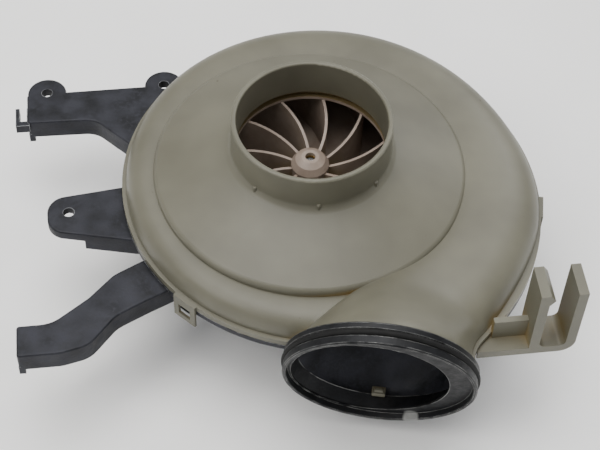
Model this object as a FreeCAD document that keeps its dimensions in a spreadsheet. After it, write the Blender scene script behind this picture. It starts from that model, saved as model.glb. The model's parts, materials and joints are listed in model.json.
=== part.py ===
import FreeCAD, Part
import Sketcher
import math
import os
from FreeCAD import Placement, Rotation, Vector

# Combustion fan for a boiler or heater, in millimetres.
# The origin is on the fan's axis at the top of the inlet's straight bore, +Z out of the inlet.
# Every depth is measured down from the origin. The outlet looks along -Y and a little down.

doc = FreeCAD.newDocument("combustion_fan")
sheet = doc.addObject("Spreadsheet::Sheet", "sizes")

DRIVING = {
    # inlet collar and the shallow cone that covers the wheel
    "inlet_radius": 36.0, "collar_wall": 2.6, "collar_height": 18.4, "rim_round": 1.2,
    "cover_radius": 76.4, "cover_drop": 14.0, "shell_wall": 2.6, "foot_round": 4.0, "rim_soft": 3.0,
    # scroll: its wall is an off-centre circle that flares out towards the outlet
    "parting_depth": 50.0, "scroll_circle": 97.7, "scroll_shift_x": 6.4, "scroll_shift_y": 5.2,
    "flare_start": 232.0, "flare_ease": 30.0, "flare_rate": 0.30,
    "channel_root": 64.0, "crown_height": 14.0, "crown_rate": 0.014, "keel_depth": 12.0,
    "lip_width": 1.9, "lip_thickness": 3.0, "lip_play": 0.2, "gasket_thickness": 0.8, "gasket_width": 2.6,
    "casting_wall": 3.5, "chamber_depth": 12.0, "boss_height": 3.0,
    # outlet
    "outlet_offset": 45.0, "outlet_reach": 98.0, "outlet_tilt": 10.0, "duct_radius": 42.0,
    "outlet_outer": 44.9, "outlet_length": 10.4, "seal_groove_width": 2.8, "seal_groove_depth": 2.2,
    "seal_from_back": 3.4, "mouth_radius": 42.6, "land_height": 7.2, "outlet_bore": 36.4,
    "bore_shift_x": -4.4, "bore_shift_y": -2.9,
    # arms, laid out along a line that is turned from the outlet's own axis
    "arm_yaw": 14.0, "arm_top_depth": 52.0, "arm_skin": 4.0, "arm_side": 11.0,
    "arm_round": 1.0, "foot_drop": 3.5, "ear_radius": 10.0,
    "ear_hole_radius": 2.75, "ear_thickness": 5.0, "ear_row": 79.0, "ear_far": 128.0,
    "ear_pitch": 61.0, "lobe_reach": 119.0, "lobe_row": -2.0, "leg_reach": 145.0,
    "arm_wall": 3.0, "top_arm_width": 20.0, "leg_row": -67.0, "leg_width": 17.0,
    # clip bracket
    "clip_gap": 12.5, "clip_strip": 4.6, "clip_depth": 17.0, "clip_height": 40.0,
    "clip_left": 89.0, "clip_front": 105.0,
    # wheel
    "wheel_radius": 71.0, "eye_radius": 37.0, "blade_count": 11.0, "blade_thickness": 1.4,
    "blade_sweep": 46.0, "back_plate_thickness": 2.0, "shroud_thickness": 1.6,
    "hub_radius": 9.3, "hub_top_depth": 26.0, "wheel_floor_gap": 3.0, "shroud_gap": 2.2,
    # shaft, bearings and motor
    "shaft_radius": 3.0, "bush_wall": 1.6, "bearing_outer": 9.5, "bearing_width": 6.0,
    "race_wall": 1.7, "ball_radius": 1.35, "ball_play": 0.12, "ball_count": 7.0,
    "motor_radius": 43.0, "motor_wall": 1.6, "motor_length": 32.0, "shield_thickness": 4.0,
    "stator_inner": 21.0, "stator_stack": 12.0, "tooth_count": 9.0, "mount_count": 3.0,
    "air_gap": 0.7, "magnet_thickness": 3.0, "magnet_gap": 0.3, "pole_count": 6.0, "winding_overhang": 2.2,
    "board_thickness": 1.6, "screw_radius": 2.0, "screw_head_radius": 3.8,
    "screw_head_height": 2.6, "mount_circle": 51.0, "mount_thickness": 3.0, "mount_radius": 6.0,
    "seal_play": 0.35, "seal_radius": 10.0, "seal_height": 5.0,
}
for row, (name, value) in enumerate(DRIVING.items(), start=1):
    sheet.set(f"A{row}", name)
    sheet.set(f"B{row}", str(value))
    sheet.setAlias(f"B{row}", name)
doc.recompute()


# Depths that several turned pieces share, as formulas of the sheet's values.
CHAMBER_FLOOR = "parting_depth + gasket_thickness + chamber_depth"
CASTING_FLOOR = CHAMBER_FLOOR + " + casting_wall"
WHEEL_FOOT = CHAMBER_FLOOR + " - wheel_floor_gap"
SHIELD_TOP = CASTING_FLOOR + " + boss_height + mount_thickness"
FRONT_BEARING = SHIELD_TOP + " + 2.0"
HOUSING_FOOT = SHIELD_TOP + " + shield_thickness + motor_length"
REAR_BEARING = HOUSING_FOOT + " - motor_wall - bearing_width"
SHAFT_END = HOUSING_FOOT + " - motor_wall - 0.6"
STATOR_TOP = (FRONT_BEARING + " + bearing_width + 0.5 + board_thickness"
              " + winding_overhang + 1.0")


def size(name):
    return float(getattr(sheet, name))


def bound(text):
    """Turn every driving name in a formula into a reference to its cell."""
    words = text.replace("(", " ( ").replace(")", " ) ").split()
    return " ".join(f"sizes.{word}" if word in DRIVING else word for word in words)


def origin_item(body, role):
    return next(item for item in body.Origin.OriginFeatures if item.Role == role)


def sketch_on(body, role, name):
    sketch = body.newObject("Sketcher::SketchObject", name)
    sketch.AttachmentSupport = [(origin_item(body, role), "")]
    sketch.MapMode = "FlatFace"
    return sketch


def value_of(text):
    return float(sheet.evalExpression(bound(text)))


def closed_profile(sketch, corners):
    """A closed outline whose corners are tied to the sheet: (distance out, depth) formulas."""
    spots = [Vector(value_of(out), -value_of(depth), 0) for out, depth in corners]
    count = len(spots)
    for index, spot in enumerate(spots):
        sketch.addGeometry(Part.LineSegment(spot, spots[(index + 1) % count]), False)
    for index in range(count):
        sketch.addConstraint(Sketcher.Constraint("Coincident", index, 2, (index + 1) % count, 1))
    for index, (out, depth) in enumerate(corners):
        spot = spots[index]
        if out == "0":
            sketch.addConstraint(Sketcher.Constraint("PointOnObject", index, 1, -2))
        else:
            number = sketch.addConstraint(
                Sketcher.Constraint("DistanceX", -1, 1, index, 1, spot.x))
            sketch.setExpression(f"Constraints[{number}]", bound(out))
        if depth == "0":
            sketch.addConstraint(Sketcher.Constraint("PointOnObject", index, 1, -1))
        else:
            number = sketch.addConstraint(
                Sketcher.Constraint("DistanceY", index, 1, -1, 1, -spot.y))
            sketch.setExpression(f"Constraints[{number}]", bound(depth))
    return sketch


def turned(label, corners):
    """A body turned about the fan's axis from an outline of (radius, depth) formulas."""
    body = doc.addObject("PartDesign::Body", label)
    body.Label = label
    sketch = closed_profile(sketch_on(body, "XZ_Plane", f"{label}_outline"), corners)
    turn = body.newObject("PartDesign::Revolution", f"{label}_turn")
    turn.Profile = sketch
    turn.ReferenceAxis = (sketch, ["V_Axis"])
    turn.Angle = 360.0
    sketch.Visibility = False
    doc.recompute()
    return body


def add_fixed(label, shape):
    """A sub-part whose shape is worked out in this file from the sheet's values."""
    piece = doc.addObject("Part::Feature", label)
    piece.Label = label
    piece.Shape = shape
    piece.Placement = Placement()
    return piece


def turned_shape(corners):
    spots = [Vector(out, 0, -depth) for out, depth in corners]
    face = Part.Face(Part.makePolygon(spots + spots[:1]))
    return face.revolve(Vector(0, 0, 0), Vector(0, 0, 1), 360)


def ring_shape(inner, outer, top_depth, bottom_depth):
    corners = [(inner, top_depth), (outer, top_depth), (outer, bottom_depth), (inner, bottom_depth)]
    return turned_shape(corners)


# ---------------------------------------------------------------- scroll geometry
parting = size("parting_depth")
lip = size("lip_width")
cover_radius = size("cover_radius")
root = size("channel_root")
duct_radius = size("duct_radius")
tilt = math.radians(size("outlet_tilt"))
outlet_centre = Vector(size("outlet_offset"), -size("outlet_reach"), -parting)
outlet_axis = Vector(0, -math.cos(tilt), -math.sin(tilt))
outlet_up = Vector(0, -math.sin(tilt), math.cos(tilt))

TONGUE_ANGLE = -80.0
SCROLL_END = 320.0
SEAM_TURN = 22.0
NOSE_TURN = -11.0
OUTLINE_START = 8.0
CHANNEL_POWER = 2.7
OUTLINE_SETBACK = 1.6
DOWN = Vector(0, 0, -1)
UP = Vector(0, 0, 1)


def wall_radius(turn):
    angle = math.radians(TONGUE_ANGLE - turn)
    radius = size("scroll_circle") + size("scroll_shift_x") * math.cos(angle)
    radius += size("scroll_shift_y") * math.sin(angle)
    past = max(0.0, turn - size("flare_start"))
    return radius + size("flare_rate") * past ** 2 / (past + size("flare_ease"))


def spoke(radius, turn, depth=parting):
    """A point at a radius, so many degrees clockwise from the tongue."""
    angle = math.radians(TONGUE_ANGLE - turn)
    return Vector(radius * math.cos(angle), radius * math.sin(angle), -depth)


def hoop(start, end, rise, power):
    """A closed arch that stands on the parting plane from start to end, rising by a vector."""
    steps = 14
    middle = (start + end) * 0.5
    half = (end - start) * 0.5
    points = []
    for step in range(steps + 1):
        bend = math.pi * step / steps
        along = -math.copysign(abs(math.cos(bend)) ** (2 / power), math.cos(bend))
        up = abs(math.sin(bend)) ** (2 / power)
        points.append(middle + half * along + rise * up)
    points[0] = start
    points[-1] = end
    arch = Part.BSplineCurve()
    arch.interpolate(Points=points, Parameters=[step / steps for step in range(steps + 1)])
    return Part.Wire([arch.toShape(), Part.makeLine(end, start)])


def mixed(first, second, share):
    return first * (1 - share) + second * share


def curve_point(first, control, last, share):
    return mixed(mixed(first, control, share), mixed(control, last, share), share)


def channel(turn, inset, side):
    """The scroll's section, as seen at a turn from the tongue. side is UP or DOWN."""
    height = size("crown_height") if side.z > 0 else size("keel_depth")
    height += size("crown_rate") * turn
    start = spoke(root + inset, turn)
    end = spoke(wall_radius(turn) - inset, turn)
    return start, end, side * (height - inset), CHANNEL_POWER


def duct(share, inset, side):
    """The section on the way from the end of the scroll to the round outlet."""
    start, end, rise, power = channel(SCROLL_END, inset, side)
    across = Vector(duct_radius - inset, 0, 0)
    last_start = outlet_centre - across
    last_end = outlet_centre + across
    leave = spoke(wall_radius(SCROLL_END) - inset, SCROLL_END + 90)
    lean = leave * (14.0 / leave.Length)
    bend_out = Vector(end.x + lean.x, end.y + lean.y, -parting)
    bend_in = Vector(mixed(start, last_start, 0.72).x, mixed(start, last_start, 0.64).y, -parting)
    flat = outlet_up if side.z > 0 else outlet_up * -1
    last_rise = flat * (duct_radius - inset)
    ease = share * share * (3 - 2 * share)
    base = (curve_point(start, bend_in, last_start, share),
            curve_point(end, bend_out, last_end, share))
    return base[0], base[1], mixed(rise, last_rise, ease), power + (2 - power) * ease


def channel_solid(inset, side):
    """The scroll and the duct as one body, with its inside faces an inset from the outside."""
    turns = [SEAM_TURN + (SCROLL_END - SEAM_TURN) * step / 10 for step in range(11)]
    sections = [hoop(*channel(turn, inset, side)) for turn in turns]
    sections += [hoop(*duct(share, inset, side)) for share in (0.2, 0.4, 0.6, 0.8, 1.0)]
    main = Part.makeLoft(sections, True, False)
    first = NOSE_TURN if inset == 0 else NOSE_TURN + 4.0
    nose_turns = [first, (first + SEAM_TURN) / 2, SEAM_TURN]
    nose = Part.makeLoft([hoop(*channel(turn, inset, side)) for turn in nose_turns], True, False)
    return main.fuse(nose)


def outline_face(offset, depth):
    """The scroll's plan outline with the outlet's mouth, grown by an offset."""
    turns = [OUTLINE_START + (SCROLL_END - OUTLINE_START) * step / 16 for step in range(17)]
    points = [spoke(wall_radius(turn) + offset, turn, depth) for turn in turns]
    for share in (0.35, 0.7):
        end = duct(share, -offset, UP)[1]
        points.append(Vector(end.x, end.y, -depth))
    curve = Part.BSplineCurve()
    curve.interpolate(Points=points)
    edge = outlet_centre.y + OUTLINE_SETBACK
    right = Vector(outlet_centre.x + duct_radius + offset, edge, -depth)
    left = Vector(outlet_centre.x - duct_radius - offset, edge, -depth)
    lines = [Part.makeLine(points[-1], right), Part.makeLine(right, left),
             Part.makeLine(left, points[0])]
    return Part.Face(Part.Wire([curve.toShape()] + lines))


def beyond_outlet():
    """The space in front of the outlet's face, where neither half of the duct may reach."""
    return Part.makeCylinder(duct_radius * 1.4, 20, outlet_centre, outlet_axis)


def biggest(shape):
    return max(shape.Solids, key=lambda solid: solid.Volume)


# ---------------------------------------------------------------- upper shell
def yawed(shape):
    """Turn a shape drawn along the arms' own line into the fan's frame."""
    shape.rotate(Vector(0, 0, 0), UP, size("arm_yaw"))
    return shape


def block(low, high):
    corner = Vector(*low)
    return Part.makeBox(high[0] - low[0], high[1] - low[1], high[2] - low[2], corner)


def clip_bracket():
    """A U of strip that stands on the lip beside the outlet, with a small barb at its mouth."""
    strip = size("clip_strip")
    left = size("clip_left")
    right = left + size("clip_gap") + 2 * strip
    front = -size("clip_front")
    back = front + size("clip_depth")
    floor = -parting - strip
    top = floor + size("clip_height") + strip
    outer = block((left, front, floor), (right, back, top))
    bends = [edge for edge in outer.Edges
             if abs(edge.BoundBox.ZMax - floor) < 0.01 and edge.BoundBox.XMin > right - 0.01
             and edge.BoundBox.YLength > 1]
    outer = outer.makeFillet(strip * 1.6, bends)
    inner = block((left + strip, front - 1, floor + strip), (right - strip, back + 1, top + 1))
    corners = [edge for edge in inner.Edges
               if abs(edge.BoundBox.ZMax - floor - strip) < 0.01 and edge.BoundBox.YLength > 1]
    inner = inner.makeFillet(strip * 0.7, corners)
    barb_points = [Vector(left + strip, front, top), Vector(left + strip + 2.4, front, top - 3.5),
                   Vector(left + strip, front, top - 7.0)]
    barb = Part.Face(Part.makePolygon(barb_points + barb_points[:1]))
    barb = barb.extrude(Vector(0, size("clip_depth"), 0))
    tongue = block((left - 24, front, floor), (left + 1, back, floor + strip))
    rib = block((left - 16, front + 7.5, floor), (left + 1, front + 10.5, floor + strip + 12))
    return yawed(Part.makeCompound([outer.cut(inner).fuse([barb, tongue, rib])]))


def snap_loop(turn, width, height):
    """A loop that hangs from the lip over a catch on the casting."""
    strip = 1.4
    out = wall_radius(turn) + lip
    loop = block((out - 1.2, -width / 2, -parting - height), (out + strip, width / 2,
                                                              -parting + size("lip_thickness")))
    slot = block((out - 2, -width / 2 + 3, -parting - height + 3.2),
                 (out + strip + 1, width / 2 - 3, -parting - 2.2))
    loop = loop.cut(slot)
    loop.rotate(Vector(0, 0, 0), UP, TONGUE_ANGLE - turn)
    return loop


SNAP_TURNS = (42.0, 160.0, 205.0, 279.0)
SNAP_WIDTH = 13.0
SNAP_HEIGHT = 12.0


def upper_shell():
    wall = size("shell_wall")
    inlet = size("inlet_radius")
    collar = inlet + size("collar_wall")
    rim = size("rim_round")
    foot = size("collar_height")
    edge_depth = foot + size("cover_drop")
    cover = turned_shape([(inlet, 0), (inlet, parting), (cover_radius, parting),
                          (cover_radius, edge_depth), (collar, foot), (collar, 0)])
    lip_ring = turned_shape([(inlet, 0.01), (collar, 0.01), (collar, -rim), (inlet, -rim)])
    round_edges = [edge for edge in lip_ring.Edges if edge.BoundBox.ZMin > rim - 0.01]
    lip_ring = lip_ring.makeFillet(rim * 0.8, round_edges)
    cover = cover.fuse(lip_ring).removeSplitter()
    foot_edge = [edge for edge in cover.Edges
                 if abs(edge.BoundBox.ZMax + foot) < 0.01 and edge.BoundBox.ZLength < 0.01
                 and abs(edge.BoundBox.XMax - collar) < 0.01]
    cover = cover.makeFillet(size("foot_round"), foot_edge)
    rim_edge = [edge for edge in cover.Edges
                if abs(edge.BoundBox.ZMax + edge_depth) < 0.01 and edge.BoundBox.ZLength < 0.01
                and abs(edge.BoundBox.XMax - cover_radius) < 0.01]
    cover = cover.makeFillet(size("rim_soft"), rim_edge)

    skirt = outline_face(lip, parting).extrude(UP * size("lip_thickness"))
    outside = cover.fuse([channel_solid(0, UP), skirt])
    loops = [snap_loop(turn, SNAP_WIDTH, SNAP_HEIGHT) for turn in SNAP_TURNS]
    outside = outside.fuse(loops + clip_bracket().Solids)

    slope = (edge_depth - foot) / (cover_radius - collar)
    inner_edge = cover_radius - wall
    mouth = inlet + wall
    chamber = turned_shape([(0, -rim - 5), (inlet, -rim - 5), (inlet, foot),
                            (mouth, foot + wall + slope * (mouth - inlet)),
                            (inner_edge, foot + wall + slope * (inner_edge - inlet)),
                            (inner_edge, parting), (0, parting)])
    hollow = channel_solid(wall, UP).fuse([chamber])
    seat = outline_face(lip + size("lip_play"), parting).extrude(DOWN * size("clip_height"))
    return biggest(outside.cut([hollow, seat, beyond_outlet()]))


add_fixed("upper_shell", upper_shell())


# ---------------------------------------------------------------- lower casting
gasket = size("gasket_thickness")
casting_top = parting + gasket
chamber_floor = casting_top + size("chamber_depth")
casting_floor = chamber_floor + size("casting_wall")
boss_foot = casting_floor + size("boss_height")
arm_top = size("arm_top_depth")
ear_radius = size("ear_radius")
mount_count = int(size("mount_count"))


def around(count, radius, first=0.0):
    """Evenly spaced places round the fan's axis."""
    places = []
    for index in range(count):
        angle = math.radians(first + 360.0 * index / count)
        places.append(Vector(radius * math.cos(angle), radius * math.sin(angle), 0))
    return places


def column(place, radius, top_depth, bottom_depth):
    start = Vector(place.x, place.y, -bottom_depth)
    return Part.makeCylinder(radius, bottom_depth - top_depth, start)


def outline(points, corner):
    """A closed wire through points with its corners rounded by tangent arcs."""
    edges = []
    spots = [Vector(along, across, -arm_top) for along, across in points]
    bends = []
    for index, here in enumerate(spots):
        before = spots[index - 1] - here
        after = spots[(index + 1) % len(spots)] - here
        half = before.getAngle(after) / 2
        reach = min(corner[index] / math.tan(half), before.Length * 0.46, after.Length * 0.46)
        into = here + Vector(before).normalize() * reach
        away = here + Vector(after).normalize() * reach
        inward = ((into + away) * 0.5 - here).normalize()
        radius = reach * math.tan(half)
        crown = here + inward * (radius / math.sin(half) - radius)
        bends.append((into, crown, away))
    for index, (into, crown, away) in enumerate(bends):
        edges.append(Part.Arc(into, crown, away).toShape())
        following = bends[(index + 1) % len(bends)][0]
        if away.distanceToPoint(following) > 0.001:
            edges.append(Part.makeLine(away, following))
    return Part.Wire(edges)


def channel_arm(points, corner):
    """An arm as an upside-down tray: a top skin with walls turned down round its edge."""
    face = Part.Face(outline(points, corner))
    solid = face.extrude(DOWN * size("arm_side"))
    crest = [edge for edge in solid.Edges if edge.BoundBox.ZMin > -arm_top - 0.01]
    solid = solid.makeFillet(size("arm_round"), crest)
    tray = face.makeOffset2D(-size("arm_wall"))
    tray.translate(DOWN * size("arm_skin"))
    return solid.cut(tray.extrude(DOWN * size("arm_side")))


def ear(along, across):
    place = Vector(along, across, 0)
    disc = column(place, ear_radius, arm_top, arm_top + size("ear_thickness"))
    crest = [edge for edge in disc.Edges if edge.BoundBox.ZMin > -arm_top - 0.01]
    return disc.makeFillet(size("arm_round"), crest)


def arms():
    row = size("ear_row")
    far = -size("ear_far")
    near = far + size("ear_pitch")
    left = far - ear_radius - 0.5
    width = size("top_arm_width")
    side_foot = -arm_top - size("arm_side")
    top_arm = [(left, row - width), (far + 24, row - width - 1), (near - 12, row - width - 28),
               (near + 17, row - 29), (near + 10, row), (left, row)]
    reach = -size("lobe_reach")
    lobe = size("lobe_row")
    shoulder = ear_radius + 0.5
    middle_arm = [(reach - shoulder, lobe + shoulder - 1), (reach - shoulder, lobe - shoulder),
                  (reach + 33, lobe - 21), (reach + 46, lobe - 22), (reach + 46, lobe + 16),
                  (reach + 30, lobe + 14)]
    tip = -size("leg_reach")
    leg = size("leg_row")
    edge = leg - size("leg_width")
    low_arm = [(tip, leg), (tip + 16, leg), (tip + 34, leg + 13), (tip + 46, leg + 25),
               (tip + 60, leg + 32), (tip + 76, leg + 36), (tip + 82, leg + 18),
               (tip + 60, leg + 8), (tip + 46, leg + 1), (tip + 33, edge + 3), (tip + 20, edge),
               (tip, edge)]
    pieces = [channel_arm(top_arm, [2, 12, 8, 3, 3, 2]),
              channel_arm(middle_arm, [9.6, 9.6, 8, 2, 2, 8]),
              channel_arm(low_arm, [1.5, 16, 14, 14, 10, 3, 3, 14, 14, 14, 18, 1.5])]
    pieces += [ear(far, row), ear(near, row)]
    hook = block((left - 6, row - 21, -arm_top - 6), (left + 1, row - 9, -arm_top - 1))
    hook = hook.cut(block((left - 4, row - 18, -arm_top - 7), (left - 0.3, row - 8, -arm_top)))
    pieces.append(hook)
    for top_left, across in ((left, row - width), (tip, edge)):
        foot_points = [Vector(top_left, across, side_foot + 2),
                       Vector(top_left, across, side_foot - size("foot_drop")),
                       Vector(top_left, across + 3, side_foot - size("foot_drop")),
                       Vector(top_left, across + 12, side_foot + 2)]
        gusset = Part.Face(Part.makePolygon(foot_points + foot_points[:1]))
        pieces.append(gusset.extrude(Vector(size("arm_wall"), 0, 0)))
    return pieces[0].fuse(pieces[1:])


def ear_places():
    row = size("ear_row")
    far = -size("ear_far")
    return [(far, row), (far + size("ear_pitch"), row), (-size("lobe_reach"), size("lobe_row"))]


def catch(turn):
    """A wedge on the casting's rim that a snap loop of the shell hooks under."""
    out = wall_radius(turn) + lip - 0.3
    top = -casting_top - 3.2
    points = [Vector(out - 4, -3, top), Vector(out + 1.8, -3, top), Vector(out - 0.4, -3, top - 4),
              Vector(out - 4, -3, top - 4)]
    wedge = Part.Face(Part.makePolygon(points + points[:1])).extrude(Vector(0, 6, 0))
    wedge.rotate(Vector(0, 0, 0), UP, TONGUE_ANGLE - turn)
    return wedge


def lower_casting():
    wall = size("casting_wall")
    shift = DOWN * gasket
    bowl_radius = cover_radius - 1
    bowl = ring_shape(0.001, bowl_radius, casting_top, casting_floor)
    keel = channel_solid(0, DOWN)
    keel.translate(shift)
    skirt = outline_face(lip - 0.3, casting_top).extrude(DOWN * size("lip_thickness"))
    outside = bowl.fuse([keel, skirt])
    outside = outside.fuse([yawed(arms())] + [catch(turn) for turn in SNAP_TURNS])
    bosses = around(mount_count, size("mount_circle"), 30.0)
    outside = outside.fuse([column(place, size("mount_radius"), casting_floor - 1, boss_foot)
                            for place in bosses])
    channel_void = channel_solid(wall, DOWN)
    channel_void.translate(shift)
    chamber = ring_shape(0.001, bowl_radius - 1.5, casting_top, chamber_floor)
    shaft_way = Part.makeCylinder(size("seal_radius"), 30, Vector(0, 0, -casting_floor - 10))
    casting = outside.cut(channel_void.fuse([chamber]))
    holes = [shaft_way, beyond_outlet()]
    for along, across in ear_places():
        hole = column(Vector(along, across, 0), size("ear_hole_radius"), arm_top - 5, arm_top + 20)
        holes.append(yawed(hole))
        under = arm_top + size("ear_thickness")
        clear = column(Vector(along, across, 0), ear_radius - 1.0, under, arm_top + 20)
        holes.append(yawed(clear))
        if across == size("lobe_row"):
            below = -arm_top - 30
            open_end = block((along - 20, across - 15, below), (along + 7, across + 15, -under))
            holes.append(yawed(open_end))
    holes += [column(place, size("screw_radius"), chamber_floor + 0.8, boss_foot + 1)
              for place in bosses]
    return biggest(casting.cut(holes))


def casing_gasket():
    width = size("gasket_width")
    outer = outline_face(lip - 1.0, parting).extrude(DOWN * gasket)
    inner = outline_face(lip - 1.0 - width, parting).extrude(DOWN * gasket)
    mouth = Part.makeCylinder(duct_radius, 30, outlet_centre - outlet_axis * 15, outlet_axis)
    return biggest(outer.cut([inner, mouth]))


add_fixed("lower_casting", lower_casting())
add_fixed("casing_gasket", casing_gasket())


# ---------------------------------------------------------------- outlet collar and its seal
outlet_turn = Rotation(UP, outlet_axis)
outlet_place = Placement(outlet_centre, outlet_turn)
outlet_outer = size("outlet_outer")
outlet_length = size("outlet_length")
groove_floor = outlet_outer - size("seal_groove_depth")
groove_start = size("seal_from_back")
groove_end = groove_start + size("seal_groove_width")


def outlet_collar():
    """The outlet's metal nose: a flange, an O-ring groove and a land round an offset hole."""
    mouth = size("mouth_radius")
    land = size("land_height")
    corners = [(0, 0), (outlet_outer - 0.6, 0), (outlet_outer, -0.6),
               (outlet_outer, -groove_start + 0.4), (outlet_outer - 0.4, -groove_start),
               (groove_floor, -groove_start), (groove_floor, -groove_end),
               (outlet_outer - 0.7, -groove_end), (outlet_outer - 0.4, -groove_end - 0.3),
               (outlet_outer - 0.4, -outlet_length + 0.6), (outlet_outer - 1.0, -outlet_length),
               (mouth + 0.4, -outlet_length), (mouth, -outlet_length + 0.4), (mouth - 0.3, -land),
               (0, -land)]
    solid = turned_shape(corners)
    bore = size("outlet_bore")
    centre = Vector(size("bore_shift_x"), size("bore_shift_y"), 0)
    hole = Part.makeCylinder(bore, land, centre + UP * (land - 1.0))
    back = Part.makeCircle(duct_radius - size("casting_wall"), Vector())
    front = Part.makeCircle(bore, centre + UP * (land - 1.0))
    taper = Part.makeLoft([Part.Wire([back]), Part.Wire([front])], True, True)
    return solid.cut([hole, taper])


collar_piece = add_fixed("outlet_collar", outlet_collar())
collar_piece.Placement = outlet_place

o_ring = doc.addObject("Part::Torus", "outlet_o_ring")
o_ring.Label = "outlet_o_ring"
o_ring.setExpression("Radius2", "sizes.seal_groove_width / 2")
o_ring.setExpression("Radius1", "sizes.outlet_outer - sizes.seal_groove_depth "
                     "+ sizes.seal_groove_width / 2")
o_ring.Placement = Placement(
    outlet_centre + outlet_axis * ((groove_start + groove_end) / 2), outlet_turn)

# ---------------------------------------------------------------- wheel
wheel_radius = size("wheel_radius")
eye = size("eye_radius")
hub_radius = size("hub_radius")
hub_top = size("hub_top_depth")
back_plate = size("back_plate_thickness")
plate_foot = chamber_floor - size("wheel_floor_gap")
plate_top = plate_foot - back_plate
cover_slope = size("cover_drop") / (cover_radius - size("inlet_radius") - size("collar_wall"))
shroud_eye = size("collar_height") + size("shell_wall") + size("shroud_gap")
shroud_rim = shroud_eye + cover_slope * (wheel_radius - eye)
shroud = size("shroud_thickness")
bush_radius = size("shaft_radius") + size("bush_wall")


def blade(index):
    """A thin blade that leans back from the hub to the rim, standing on the back plate."""
    count = int(size("blade_count"))
    steps = 8
    half = size("blade_thickness") / 2
    start = hub_radius - 3
    sides = {1: [], -1: []}
    for step in range(steps + 1):
        share = step / steps
        radius = start + (wheel_radius - 0.6 - start) * share
        sweep = math.radians(3 + size("blade_sweep") * share ** 1.25 + 360.0 * index / count)
        for side in sides:
            turn = sweep + side * half / radius
            sides[side].append(Vector(radius * math.cos(turn), radius * math.sin(turn), -plate_foot
                                      + back_plate / 2))
    edges = []
    for side in (1, -1):
        curve = Part.BSplineCurve()
        curve.interpolate(Points=sides[side])
        edges.append(curve.toShape())
    edges.append(Part.makeLine(sides[1][0], sides[-1][0]))
    edges.append(Part.makeLine(sides[1][-1], sides[-1][-1]))
    face = Part.Face(Part.Wire(Part.__sortEdges__(edges)))
    return face.extrude(Vector(0, 0, plate_top - hub_top + 12))


def impeller():
    blade_root = hub_top + 6.5
    limit = turned_shape([(0, plate_foot), (wheel_radius, plate_foot),
                          (wheel_radius, shroud_rim + shroud), (eye, shroud_eye + shroud),
                          (hub_radius - 1, blade_root), (0, blade_root)])
    blades = [blade(index).common(limit) for index in range(int(size("blade_count")))]
    disc = turned_shape([(0, plate_foot), (wheel_radius, plate_foot), (wheel_radius, plate_top),
                         (24, plate_top), (hub_radius + 4, plate_top - 5),
                         (hub_radius, plate_top - 12), (hub_radius, hub_top + 5),
                         (hub_radius - 2, hub_top + 1.8), (hub_radius - 5, hub_top), (0, hub_top)])
    bore = column(Vector(), bush_radius, hub_top + 2, plate_foot + 1)
    eye_hole = column(Vector(), 2.5, hub_top - 1, hub_top + 3)
    return biggest(disc.fuse(blades).cut([bore, eye_hole]))


add_fixed("impeller", impeller())
SHROUD_EYE = "collar_height + shell_wall + shroud_gap"
SHROUD_RIM = (SHROUD_EYE + " + ( wheel_radius - eye_radius ) * cover_drop"
              " / ( cover_radius - inlet_radius - collar_wall )")
turned("impeller_shroud", [
    ("eye_radius", SHROUD_EYE),
    ("wheel_radius", SHROUD_RIM),
    ("wheel_radius", SHROUD_RIM + " + shroud_thickness"),
    ("eye_radius", SHROUD_EYE + " + shroud_thickness")])
turned("hub_bush", [
    ("shaft_radius", "hub_top_depth + 2"),
    ("shaft_radius + bush_wall", "hub_top_depth + 2"),
    ("shaft_radius + bush_wall", WHEEL_FOOT),
    ("shaft_radius", WHEEL_FOOT)])

# ---------------------------------------------------------------- shaft, seal and bearings
turned("motor_shaft", [
    ("0", "hub_top_depth + 3"), ("shaft_radius - 0.5", "hub_top_depth + 3"),
    ("shaft_radius", "hub_top_depth + 3.5"), ("shaft_radius", SHAFT_END + " - 0.5"),
    ("shaft_radius - 0.5", SHAFT_END), ("0", SHAFT_END)])
turned("shaft_seal", [
    ("shaft_radius + seal_play", CASTING_FLOOR + " - seal_height"),
    ("seal_radius", CASTING_FLOOR + " - seal_height"), ("seal_radius", CASTING_FLOOR),
    ("seal_radius - 2", CASTING_FLOOR), ("seal_radius - 2", CASTING_FLOOR + " - seal_height + 1.5"),
    ("shaft_radius + seal_play", CASTING_FLOOR + " - seal_height + 1.5")])


def bearing(name, top):
    """Two races with grooves for a set of balls, on the shaft from a depth down."""
    middle = f"{top} + bearing_width / 2"
    inner_wall = "shaft_radius + race_wall"
    outer_wall = "bearing_outer - race_wall"
    turned(f"{name}_inner_race", [
        ("shaft_radius", top), (inner_wall, top), (inner_wall, f"{top} + bearing_width"),
        ("shaft_radius", f"{top} + bearing_width")])
    turned(f"{name}_outer_race", [
        (outer_wall, top), ("bearing_outer", top), ("bearing_outer", f"{top} + bearing_width"),
        (outer_wall, f"{top} + bearing_width")])
    gap = size("bearing_outer") - size("shaft_radius") - 2 * size("race_wall")
    pitch = (size("bearing_outer") + size("shaft_radius")) / 2
    places = around(int(size("ball_count")), pitch)
    depth = value_of(middle)
    balls = [Part.makeSphere(gap / 2 - size("ball_play"), place - Vector(0, 0, depth))
             for place in places]
    add_fixed(f"{name}_balls", Part.makeCompound(balls))


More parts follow.
